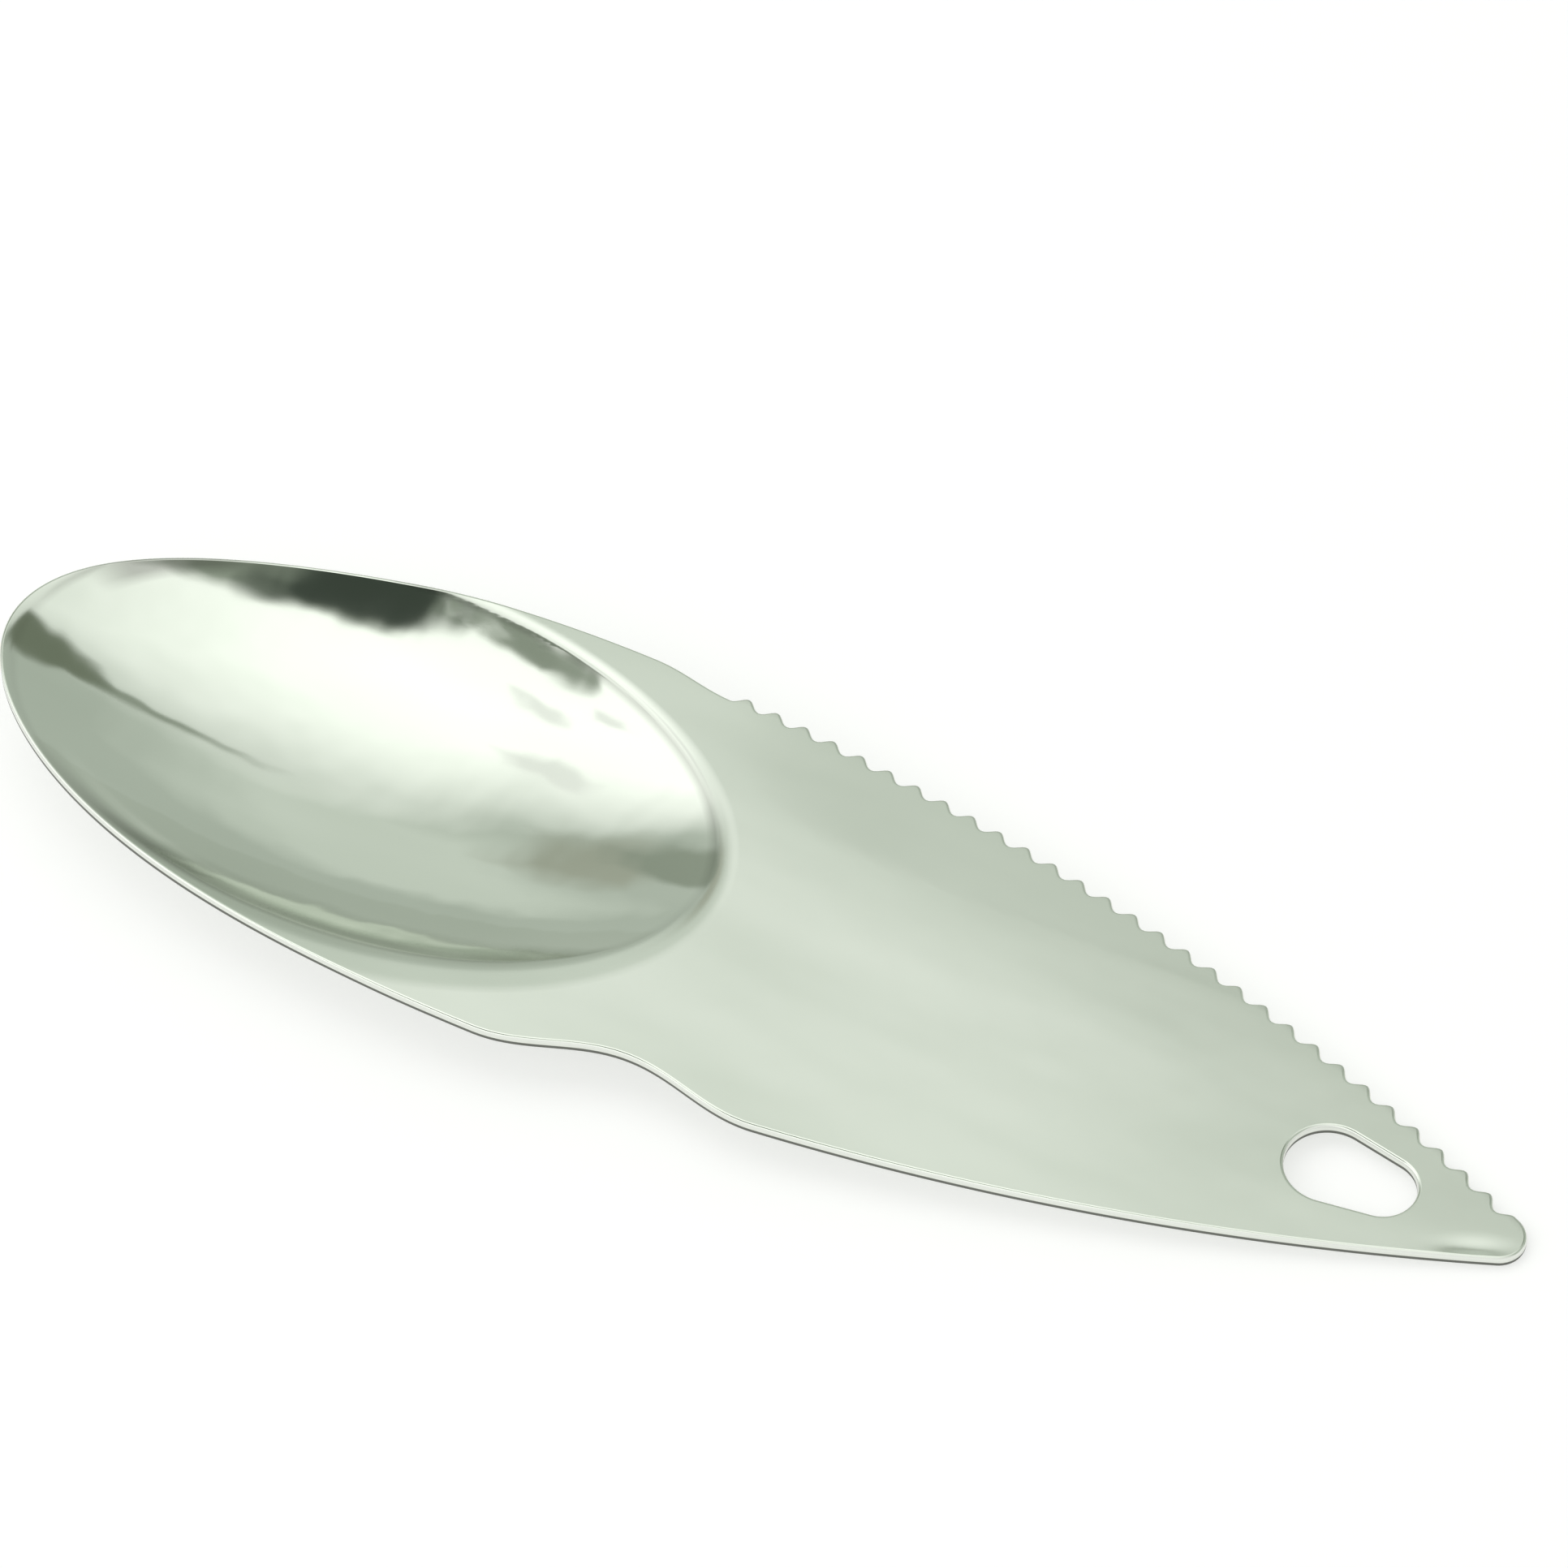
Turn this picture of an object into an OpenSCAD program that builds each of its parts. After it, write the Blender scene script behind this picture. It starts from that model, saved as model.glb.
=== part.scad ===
// Kiwi peeler spoon: one stainless sheet, blanked to a leaf with a toothed edge, a finger notch
// and a hanging slot, and pressed to a bowl at its wide end.
// X runs from the bowl end to the tip. The part lies as it does on a table, on the bottom of its
// bowl and the underside of its tip. The origin is on the table, under the middle of the part.

/* [Sheet] */
// Thickness of the sheet
sheet_t = 0.8; // [0.5:0.1:1.2]

/* [Blank] */
// Length from the bowl end to the tip
blank_l = 102; // [92:1:120]
// Greatest width
blank_w = 30; // [27:0.5:34]
// Distance from the bowl end to the widest place
widest_x = 37; // [34:0.5:40]
// Radius of the rounded tip
tip_r = 1.7; // [1.2:0.05:2.4]

/* [Bowl] */
// Distance from the bowl end to the middle of the bowl
bowl_x = 24.5; // [23:0.1:26]
// Length of the bowl's mouth, to the outer line of its rim
bowl_l = 50.6; // [47:0.2:54]
// Width of the bowl's mouth, to the outer line of its rim
bowl_w = 28.9; // [27:0.1:31]
// Depth of the bowl below the blade
bowl_depth = 4.5; // [3.6:0.1:6]
// Radius of the rim, where the blade turns down into the bowl
rim_r = 1.5; // [1.1:0.1:2.4]

/* [Toothed edge] */
// Distance along the edge from the widest place to the foot of the first tooth
teeth_start = 5.6; // [4:0.2:12]
// Distance from tooth to tooth
tooth_pitch = 2.03; // [1.6:0.01:3]
// Height of a tooth
tooth_h = 0.62; // [0.4:0.02:0.9]
// Angle of the ground face that thins the toothed side
grind_angle = 3; // [1.5:0.25:4]
// Distance from the bowl end to where the ground face starts
grind_x = 31; // [29:0.5:34]
// Distance across the tip from the axis to where the ground face ends
grind_tip_y = 1.5; // [0:0.1:1.5]

/* [Finger notch] */
// Distance from the bowl end to the middle of the notch
notch_x = 50.3; // [48:0.1:62]
// Length of the notch, with its rounded shoulders
notch_l = 18; // [14:0.5:22]
// Depth of the notch
notch_depth = 2; // [1:0.1:3]

/* [Hanging slot] */
// Distance from the tip to the middle of the slot's wide end
slot_back = 12.25; // [11.5:0.25:16]
// Length of the slot
slot_l = 8; // [7:0.1:9]
// Width of the slot at its wide end
slot_wide = 5.3; // [4.6:0.1:6]
// Width of the slot at its narrow end
slot_narrow = 4.2; // [3.4:0.1:4.5]

/* [Hidden] */

$fn = 96;
steps_per_tooth = 10;
lead_steps = 12;
edge_step = 0.8;
nose_steps = 60;
tip_steps = 12;
over = 5;
// Round forms that run into each other overlap by about this much, so that they meet cleanly
tuck = 0.003;

// Both long edges are arcs that leave the widest place square to it and run into the tip.
half_w = blank_w / 2;
tip_x = blank_l - tip_r;
edge_run = tip_x - widest_x;
edge_r = (edge_run ^ 2 + half_w ^ 2 - tip_r ^ 2) / (2 * (half_w - tip_r));
edge_c = [widest_x, half_w - edge_r];
edge_angle = asin(edge_run / (edge_r - tip_r));
edge_len = edge_r * edge_angle * PI / 180;

// The teeth are a wave that the plain edge sinks into, and that ends on a crest beside the tip.
tooth_n = floor((edge_len - teeth_start) / tooth_pitch - 1 / 2);
teeth_end = teeth_start + (tooth_n + 1 / 2) * tooth_pitch;
tooth_steps = (tooth_n + 1 / 2) * steps_per_tooth;
notch_s = edge_r * asin((notch_x - widest_x) / edge_r) * PI / 180;

// The bowl is a dish of one radius, rounded over into the blade at its rim. It is turned at the
// bowl's width and stretched to the bowl's length.
mouth_r = bowl_w / 2;
stretch = bowl_l / bowl_w;
dish_r = (mouth_r ^ 2 + bowl_depth ^ 2) / (2 * bowl_depth) - rim_r + tuck;
dish_z = dish_r - bowl_depth;
dish_angle = asin(mouth_r / (dish_r + rim_r));
sheet_reach = blank_l / stretch + blank_w;

// The part rests on its bowl and its tip, so it is turned by the slope of the line under both.
tip_dx = (blank_l - bowl_x) / stretch;
tip_dz = -sheet_t - dish_z;
rest_slope = atan2(tip_dz, tip_dx) + asin((dish_r + sheet_t) / norm([tip_dx, tip_dz]));
rest_angle = atan(tan(rest_slope) / stretch);
rest_lift = blank_l * sin(rest_angle) + sheet_t * cos(rest_angle);

// How far the edge is cut back at a distance s along it from the widest place
function lead_cut(s) = tooth_h * (1 - cos(180 * s / teeth_start)) / 2;
function tooth_cut(s) = tooth_h * (1 + cos(360 * (s - teeth_start) / tooth_pitch)) / 2;
function notch_cut(s) =
    abs(s - notch_s) > notch_l / 2 ? 0 : notch_depth * (1 + cos(360 * (s - notch_s) / notch_l)) / 2;

function edge_point(s, cut) =
    let (a = 90 - s / edge_len * edge_angle)
    edge_c + (edge_r - cut) * [cos(a), sin(a)];

function span(from, to, steps) = [for (i = [0 : steps]) from + (to - from) * i / steps];
function flip(points) = [for (i = [len(points) - 1 : -1 : 0]) [points[i].x, -points[i].y]];

nose = [for (a = span(180, 90, nose_steps)) [widest_x * (1 + cos(a)), half_w * sin(a)]];
lead_edge = [for (s = span(0, teeth_start, lead_steps)) edge_point(s, lead_cut(s))];
toothed_edge = [for (s = span(teeth_start, teeth_end, tooth_steps)) edge_point(s, tooth_cut(s))];
back_edge = [for (s = span(0, edge_len, ceil(edge_len / edge_step))) edge_point(s, notch_cut(s))];
tip = [for (a = span(90 - edge_angle, edge_angle - 90, tip_steps)) [tip_x, 0] + tip_r * [cos(a), sin(a)]];

module leaf() {
    polygon(concat(nose, lead_edge, toothed_edge, tip, flip(back_edge), flip(nose)));
}

// Two round ends and the straight sides that run into both
module slot() {
    r1 = slot_wide / 2;
    r2 = slot_narrow / 2;
    apart = slot_l - r1 - r2;
    touch = acos((r1 - r2) / apart);
    side1 = (r1 - tuck) * [cos(touch), sin(touch)];
    side2 = (r2 - tuck) * [cos(touch), sin(touch)];
    translate([blank_l - slot_back, 0]) {
        circle(r1);
        translate([apart, 0]) circle(r2);
        polygon([
            [side1.x, side1.y],
            [apart + side2.x, side2.y],
            [apart + side2.x, -side2.y],
            [side1.x, -side1.y]]);
    }
}

module blank() {
    difference() {
        leaf();
        slot();
    }
}

// What lies under one face of the sheet, in half section. The blade's upper face is at zero, and
// the face meant lies inside the metal by drop.
module under_face(drop) {
    floor_z = -bowl_depth - sheet_t - over;
    rim_turn = (rim_r - drop) * [cos(90 + dish_angle), sin(90 + dish_angle)];
    difference() {
        union() {
            translate([0, floor_z]) square([sheet_reach, -rim_r - floor_z]);
            translate([mouth_r, floor_z]) square([sheet_reach - mouth_r, -drop - floor_z]);
            translate([mouth_r, -rim_r]) {
                circle(rim_r - drop);
                polygon([[0, 0], rim_turn, [-mouth_r, 0]]);
            }
        }
        translate([0, dish_z]) circle(dish_r + drop);
    }
}

module section() {
    difference() {
        under_face(0);
        under_face(sheet_t);
    }
}

module pressed_sheet() {
    translate([bowl_x, 0, 0]) scale([stretch, 1, 1]) rotate_extrude() section();
}

// All that the wheel takes off the toothed side: above a plane that tilts down towards the teeth
module grind_off() {
    run = [blank_l - grind_x, -grind_tip_y - half_w];
    translate([grind_x, half_w, 0])
        rotate([0, 0, atan2(run.y, run.x)])
            rotate([-grind_angle, 0, 0])
                translate([-over, 0, 0]) cube([norm(run) + 2 * over, half_w, over]);
}

module pressed_spoon() {
    color("silver")
        translate([-blank_l * cos(rest_angle) / 2, 0, rest_lift])
            rotate([0, rest_angle, 0])
                difference() {
                    intersection() {
                        pressed_sheet();
                        translate([0, 0, -bowl_depth - over]) linear_extrude(bowl_depth + 2 * over) blank();
                    }
                    grind_off();
                }
}

pressed_spoon();
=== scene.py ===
"""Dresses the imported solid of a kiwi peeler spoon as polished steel, and sets the small studio it lies in."""

import math

import bmesh
import bpy
import numpy as np
from mathutils import Matrix, Vector


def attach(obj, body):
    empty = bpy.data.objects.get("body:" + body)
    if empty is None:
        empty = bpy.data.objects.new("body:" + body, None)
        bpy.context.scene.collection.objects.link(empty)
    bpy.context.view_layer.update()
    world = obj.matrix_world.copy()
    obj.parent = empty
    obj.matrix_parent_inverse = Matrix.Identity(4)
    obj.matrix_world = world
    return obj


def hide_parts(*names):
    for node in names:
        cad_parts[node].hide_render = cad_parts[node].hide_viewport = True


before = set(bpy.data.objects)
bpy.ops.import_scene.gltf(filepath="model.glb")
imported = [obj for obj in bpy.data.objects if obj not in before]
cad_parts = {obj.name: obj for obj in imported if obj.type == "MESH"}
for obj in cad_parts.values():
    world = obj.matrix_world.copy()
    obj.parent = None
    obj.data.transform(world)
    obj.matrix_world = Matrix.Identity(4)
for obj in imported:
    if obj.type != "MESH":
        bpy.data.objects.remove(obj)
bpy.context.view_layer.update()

bl_info = {
    "name": "Kiwi peeler spoon",
    "version": (1, 0, 0),
    "blender": (4, 5, 0),
    "location": "3D View > Sidebar > Spoon",
    "description": "A spoon with a toothed blade, pressed from one sheet of stainless steel",
    "category": "Add Mesh",
}

MM = 0.001
NODE = "pressed_spoon"

# How finely the sheet's mesh follows its outline: steps along each stretch, and rings or rows across.
# The steps round the bowl add up to a multiple of four, as the four sides of its floor need.
TOOTH_STEPS = 12
LEAD_STEPS = 16
NOSE_STEPS = 180
NEAR_STEPS = 32
FAR_STEPS = 40
TIP_STEPS = 20
ROWS = 48
WALL_RINGS = 22
RIM_RINGS = 10
MARGIN_RINGS = 6
SLOT_RINGS = 12
STRIP_RINGS = 6
# The wheel came down gently between these distances from the bowl end, in millimetres, where its line is
# this many times softer. There the line also comes in from the edge, by this much at first and then by less
# and less over this length.
GRIND_START = (41, 58)
GRIND_SOFT = 4
GRIND_SWEEP = 9
GRIND_SWEEP_RUN = 4.5
# A shallow dent beside the tip, in millimetres from the bowl end and from the axis. It lies along the edge,
# which rises to the tip.
DENT_AT = (99.4, -1.5)
DENT_SIZE = (1.5, 0.6)
DENT_RISE = 0.4
# The edge turns from the face to the wall at these angles, then runs down the wall to these shares of it.
# Blanking cuts the upper part of the wall bright and tears the lower part dark, ring by ring, and these rings'
# colours also hold a painted highlight above and painted shade below.
EDGE_TURNS = (30, 60, 90)
WALL_SHARES = (0.45, 0.6)
CUT_AND_HIGHLIGHT = (0, 1, 1, 1, 0, 0, 0, 0)
TORN_AND_SHADED = (0, 0, 0, 0, 1, 1, 1, 0)
# The bowl's mesh has a floor of four sides, this share of the mouth's radius wide. Where the bowl runs close
# to the outline, its wall and its rim end at these shares of the way there.
FLOOR_SHARE = 0.42
WALL_REACH = 0.95
RIM_REACH = 0.98
# The blade's part of the mesh starts this far beyond the bowl's mouth and ends this far before the slot, in
# millimetres.
MOUTH_GAP = 1.5
SLOT_GAP = 3.5
# How the polish runs round the bowl, and where painted dark reflections and a painted highlight lie in it, as
# places and the amounts there. Places are millimetres beyond the line where the wall meets the rim. For names
# that end in ROUND they are shares of the way to the notch's side.
BUFFED = (-0.1, 0.5), (1, 0)
RIM_LINE = (-0.3, -0.05, 0.35), (0, 1, 0)
RIM_LINE_ROUND = (0.3, 0.5, 0.8, 0.95), (0.8, 0.2, 0.2, 0)
CORNER = (-0.9, -0.3, 0.1, 0.7), (0, 0.8, 0.8, 0)
HIGHLIGHT_STREAK = (-1.7, -1.25, -0.8), (0, 1, 0)
NEAR_ROUND = (0.8, 0.95), (0, 1)
LIP = (-1.2, -0.7), (0, 1)
LIP_ROUND = (0.06, 0.14, 0.26, 0.34), (0, 1, 1, 0)
# The ground face and the crests of the teeth are a little duller. Places are millimetres beyond the ground
# face's line, and inside the edge.
GROUND_DULL = (-0.4, 0.2), (0, 0.12)
CREST_DULL = (0.1, 0.6), (0.3, 0)
# The painted sheen of light on the blade is brightest here, in millimetres from the bowl end and from the axis.
SHEEN_AT = (66, 0)
SHEEN_SIZE = (26, 10)

# The light tent. Places overhead are shares of the tent's height, to +X and +Y of the bowl. The softbox and
# the roof that it brightens are dense in their bright part and thin out to their hem.
SOFTBOX = (
    (0.75, 0.9), (-0.42, 0.92), (-0.65, 0.62), (-0.92, 0.5), (-1.3, 0.42), (-2.2, 0.1), (-2.2, -2),
    (0.75, -2),
)
SOFTBOX_BRIGHT = (
    (-0.1, 0.15), (-0.36, 0.2), (-0.55, 0.06), (-0.9, 0.06), (-1.2, 0), (-1.9, -0.3), (-1.9, -1.7),
    (-0.1, -1.7),
)
BOUNCE = (
    (0.05, 0.7), (-0.1, 1.4), (-0.4, 1.8), (-0.95, 2.35), (-1.8, 2.1), (-1.9, 1.6), (-1.1, 1), (-0.78, 0.5),
)
BOUNCE_BRIGHT = (
    (-0.3, 0.85), (-0.5, 1.35), (-0.7, 1.7), (-0.95, 1.95), (-1.2, 1.8), (-1.15, 1.5), (-0.85, 1.2),
    (-0.65, 0.85),
)
BOUNCE_LIFT = 1.03
# The other cloths: what each is made of, the share of it that is dense, its height as a share of the tent's,
# and its outline.
CLOTHS = {
    "roof": ("roof", 0.9, 1.06, ((-4, -0.1), (2.6, -0.1), (2.6, 3), (-4, 3))),
    "inner_crease": ("creased", 0.5, 0.97, ((-0.45, -0.24), (-0.58, -0.2), (-0.6, -0.12), (-0.47, -0.14))),
    "outer_crease": ("creased", 0.5, 0.97, ((-0.64, -0.28), (-0.76, -0.27), (-0.77, -0.2), (-0.66, -0.2))),
    "long_crease": ("creased", 0.5, 0.97, (
        (-0.44, 0.08), (-0.62, 0.05), (-0.74, 0.14), (-0.72, 0.24), (-0.5, 0.18),
    )),
    "left_dim": ("dim", 0.4, 0.97, (
        (-0.66, 0.5), (-0.72, 0.95), (-1, 1.15), (-1.3, 1.15), (-1.2, 0.6), (-0.92, 0.36),
    )),
    "camera_stand": ("felt", 0.6, 0.95, (
        (0.26, -0.02), (0.15, -0.08), (0.03, -0.12), (-0.25, -0.25), (-0.41, -0.47), (-0.54, -0.58),
        (-0.54, -0.85), (0, -0.8), (0.3, -0.28),
    )),
    "camera_flag": ("velvet", 0.6, 0.92, (
        (0.02, -0.13), (-0.08, -0.18), (-0.19, -0.24), (-0.3, -0.33), (-0.36, -0.45), (-0.39, -0.58),
        (-0.42, -0.8), (-0.2, -0.85), (-0.04, -0.6), (0.01, -0.3), (0.04, -0.2),
    )),
    "side_flag": ("felt", 0.7, 0.95, (
        (-0.36, -0.48), (-0.46, -0.4), (-0.54, -0.33), (-0.63, -0.33), (-0.7, -0.38), (-0.68, -0.5),
        (-0.58, -0.56), (-0.52, -0.68), (-0.45, -0.85), (-0.33, -0.8),
    )),
    "right_strap": ("felt", 0.4, 0.95, (
        (0.25, 0.68), (-0.06, 0.71), (-0.3, 0.68), (-0.3, 0.74), (-0.06, 0.84), (0.25, 0.92),
    )),
    "right_flag": ("dark_felt", 0.7, 0.92, (
        (-0.03, 0.77), (0.06, 0.64), (0.22, 0.57), (0.6, 0.62), (0.6, 1.08), (0.16, 1.02), (0.06, 0.86),
    )),
    "left_flag": ("felt", 0.7, 0.95, (
        (-0.86, 0.56), (-0.98, 0.76), (-1.36, 1.04), (-1.75, 1.22), (-2.2, 1.3), (-1.75, 0.66), (-1.4, 0.48),
        (-1.06, 0.47),
    )),
}
# The back wall's two ends, in metres, its distance and its height and its skirting's, as shares of the tent's
# height.
WALL_ENDS = (-4, 2.6)
WALL_BACK = 3
WALL_TOP = 1.2
SKIRTING_TOP = 0.5


def linear(hex_code):
    """The linear colour of an sRGB hex code."""
    shares = [int(hex_code[i : i + 2], 16) / 255 for i in (0, 2, 4)]
    return tuple(c / 12.92 if c <= 0.04045 else ((c + 0.055) / 1.055) ** 2.4 for c in shares)


def length(name, millimetres, description):
    return bpy.props.FloatProperty(
        name=name, description=description, default=millimetres * MM, min=0, unit="LENGTH", precision=5
    )


def angle(name, degrees, description):
    return bpy.props.FloatProperty(
        name=name, description=description, default=math.radians(degrees), unit="ROTATION"
    )


def share(name, value, description):
    return bpy.props.FloatProperty(
        name=name, description=description, default=value, min=0, max=1, subtype="FACTOR"
    )


def colour(name, hex_code, description):
    return bpy.props.FloatVectorProperty(
        name=name, description=description, default=linear(hex_code), min=0, max=1, subtype="COLOR"
    )


def strength(name, value, description):
    return bpy.props.FloatProperty(name=name, description=description, default=value, min=0)


class SheetSizes(bpy.types.PropertyGroup):
    """Sizes of the sheet, as in the part's source, and of what press, wheel and tumbling leave on it."""

    sheet_t: length("Sheet", 0.8, "Thickness of the sheet")
    blank_l: length("Length", 102, "Length from the bowl end to the tip")
    blank_w: length("Width", 30, "Greatest width")
    widest_x: length("Widest place", 37, "Distance from the bowl end to the widest place")
    tip_r: length("Tip radius", 1.7, "Radius of the rounded tip")
    bowl_x: length("Bowl middle", 24.5, "Distance from the bowl end to the middle of the bowl")
    bowl_l: length("Bowl length", 50.6, "Length of the bowl's mouth")
    bowl_w: length("Bowl width", 28.9, "Width of the bowl's mouth")
    bowl_depth: length("Bowl depth", 4.5, "Depth of the bowl below the blade")
    rim_r: length("Rim radius", 1.5, "Radius where the blade turns down into the bowl")
    soft_rim_r: length("Soft rim radius", 7, "Radius of the softer rim on the notch's side")
    teeth_start: length("Plain edge", 5.6, "Distance along the edge from the widest place to the teeth")
    tooth_pitch: length("Tooth pitch", 2.03, "Distance from tooth to tooth")
    tooth_h: length("Tooth height", 0.62, "Height of a tooth")
    grind_angle: angle("Ground face", 2.2, "Angle of the ground face on the toothed side, once it is blended")
    grind_y: length("Ground face line", 7.3, "Distance from the axis to the line of the ground face")
    grind_rise: share("Ground face rise", 0.06, "Slope of its line, which meets the teeth before the tip")
    grind_blend: length("Ground face blend", 0.5, "Width over which the ground face runs into the blade")
    dent_h: length("Tip dent", 0.05, "Depth of the dent that grinding left beside the tip")
    notch_x: length("Notch middle", 50.3, "Distance from the bowl end to the middle of the finger notch")
    notch_l: length("Notch length", 18, "Length of the finger notch")
    notch_depth: length("Notch depth", 2, "Depth of the finger notch")
    slot_back: length("Slot from tip", 12.25, "Distance from the tip to the middle of the slot's wide end")
    slot_l: length("Slot length", 8, "Length of the hanging slot")
    slot_wide: length("Slot wide end", 5.3, "Width of the slot at its wide end")
    slot_narrow: length("Slot narrow end", 4.2, "Width of the slot at its narrow end")
    edge_round: length("Edge rounding", 0.22, "Radius that tumbling leaves on every edge")
    strip_w: length("Edge strip", 1.1, "Width of the mesh strip along the outline, deeper than the teeth")


class SteelFinish(bpy.types.PropertyGroup):
    """How the steel was polished."""

    steel: colour("Steel", "D3D9CE", "Colour of the polished steel")
    haze: colour("Haze", "C8CFC3", "Colour where the polish is a little dull")
    # The bright blade colour paints a sheen of light on the middle of the blade.
    bright: colour("Bright blade", "E0E5DB", "Colour of the middle of the blade, which the mop polished most")
    # The cut edge colour is the cut's own shine and also a painted highlight on the upper part of the edges.
    cut: colour("Cut edge", "E6E9E2", "Colour of the bright upper part of the edges")
    # The dull colour is painted shade, dark reflections under and along the rim; it also dulls the ground face
    # and crests.
    dull: colour("Dull corner", "A2A69D", "Colour of the corner under the rim that the buffing wheel misses")
    # The dark edge colour is the steel that blanking tears and also painted shade on the lower part of the
    # edges.
    torn_and_shaded: colour("Torn edge", "6E706A", "Colour of the torn lower part of the edges")
    bowl_rough: share("Bowl roughness", 0.07, "Roughness of the buffed bowl")
    blade_rough: share("Blade roughness", 0.16, "Roughness of the satin blade")
    cut_rough: share("Cut roughness", 0.14, "What tumbling adds to the roughness of the cut edge")
    torn_rough: share("Torn roughness", 0.3, "What the torn edge adds to the roughness")
    line_gap: length("Polishing lines", 0.3, "Distance between polishing lines")
    line_run: length("Line length", 14, "Length of a polishing line")
    haze_size: length("Haze width", 6, "Width of the duller patches, across the blade")
    haze_run: length("Haze length", 24, "Length of the duller patches, along the blade")
    ripple_size: length("Ripples", 3.5, "Length of the shallow ripples that pressing leaves in the bowl")
    ripple_h: length("Ripple height", 0.05, "Height of those ripples")


class Studio(bpy.types.PropertyGroup):
    """The camera and the light."""

    azimuth: angle("Azimuth", 32.231, "Direction of the camera round the spoon")
    elevation: angle("Elevation", 48.78, "Height of the camera above the table")
    roll: angle("Roll", -4.865, "Turn of the camera about its own line of sight")
    distance: length("Distance", 377, "Distance from the camera to where it aims")
    aim: bpy.props.FloatVectorProperty(
        name="Aim",
        description="Where the camera aims",
        default=(-2.33 * MM, 9.914 * MM, 3.983 * MM),
        subtype="TRANSLATION",
        unit="LENGTH",
    )
    lens: length("Lens", 143.4, "Focal length on a sensor 36 mm wide")
    tent_height: length("Tent height", 600, "Height of the light tent's roof above the table")
    table: colour("Table", "B8B9B6", "Colour of the pale table")
    roof: colour("Roof", "CBD2CA", "Colour of the tent's roof behind the softbox")
    bounce: colour("Bounce", "E8EEE7", "Colour of the roof where it catches the softbox's light")
    dim: colour("Dim", "B9BCB0", "Colour of the roof where the softbox shades it")
    wall: colour("Wall", "C4CBC2", "Colour of the tent's back wall")
    velvet: colour("Velvet", "474F48", "Colour of the flag beside the camera")
    felt: colour("Felt", "A1A99D", "Colour of the smaller flags")
    dark_felt: colour("Dark felt", "808878", "Colour of the flag beyond the tip")
    softbox_light: strength("Softbox", 1.62, "Strength of the softbox overhead")
    crease_light: strength("Creases", 1.2, "Strength of the softbox where its cloth is creased")
    sky_light: strength("Sky", 0.6, "Strength of the light from all round")
    table_light: strength("Table light", 0.58, "Strength that makes the table white to the eye")


def turn(degrees):
    """Unit vectors in the plan at these angles from +X."""
    radians = np.radians(degrees)
    return np.column_stack((np.cos(radians), np.sin(radians)))


def coons(top, bottom, left, right):
    """A grid of points inside four edges: top and bottom run from left to right, left and right downwards."""
    v = np.linspace(0, 1, len(left))[:, None, None]
    u = np.linspace(0, 1, len(top))[None, :, None]
    across = (1 - v) * top[None] + v * bottom[None]
    down = (1 - u) * left[:, None] + u * right[:, None]
    corners = (1 - v) * ((1 - u) * top[0] + u * top[-1]) + v * ((1 - u) * bottom[0] + u * bottom[-1])
    return across + down - corners


def spread(start, end, steps):
    """Rows from start to end, closer together at both ends."""
    closer = 0.6
    t = np.linspace(0, 1, steps + 1)
    t = t - closer * np.sin(2 * np.pi * t) / (2 * np.pi)
    return start + (end - start) * t[:, None]


def resample(points, steps):
    """Points at even distances along a line, without its last one."""
    run = np.concatenate(([0], np.cumsum(np.hypot(*np.diff(points, axis=0).T))))
    at = np.linspace(0, run[-1], steps, endpoint=False)
    return np.column_stack([np.interp(at, run, points[:, i]) for i in (0, 1)])


def closed(rows):
    """A grid whose last column is its first one again."""
    return np.concatenate((rows, rows[:, :1]), axis=1)


def quads(grid):
    """The faces of a grid of vertex numbers."""
    return np.stack((grid[:-1, :-1], grid[1:, :-1], grid[1:, 1:], grid[:-1, 1:]), -1).reshape(-1, 4)


def outward(loop):
    """Unit normals of a closed outline that runs clockwise, seen from above."""
    along = np.roll(loop, -1, axis=0) - np.roll(loop, 1, axis=0)
    out = along[:, ::-1] * (-1, 1)
    return out / np.hypot(*out.T)[:, None]


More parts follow.
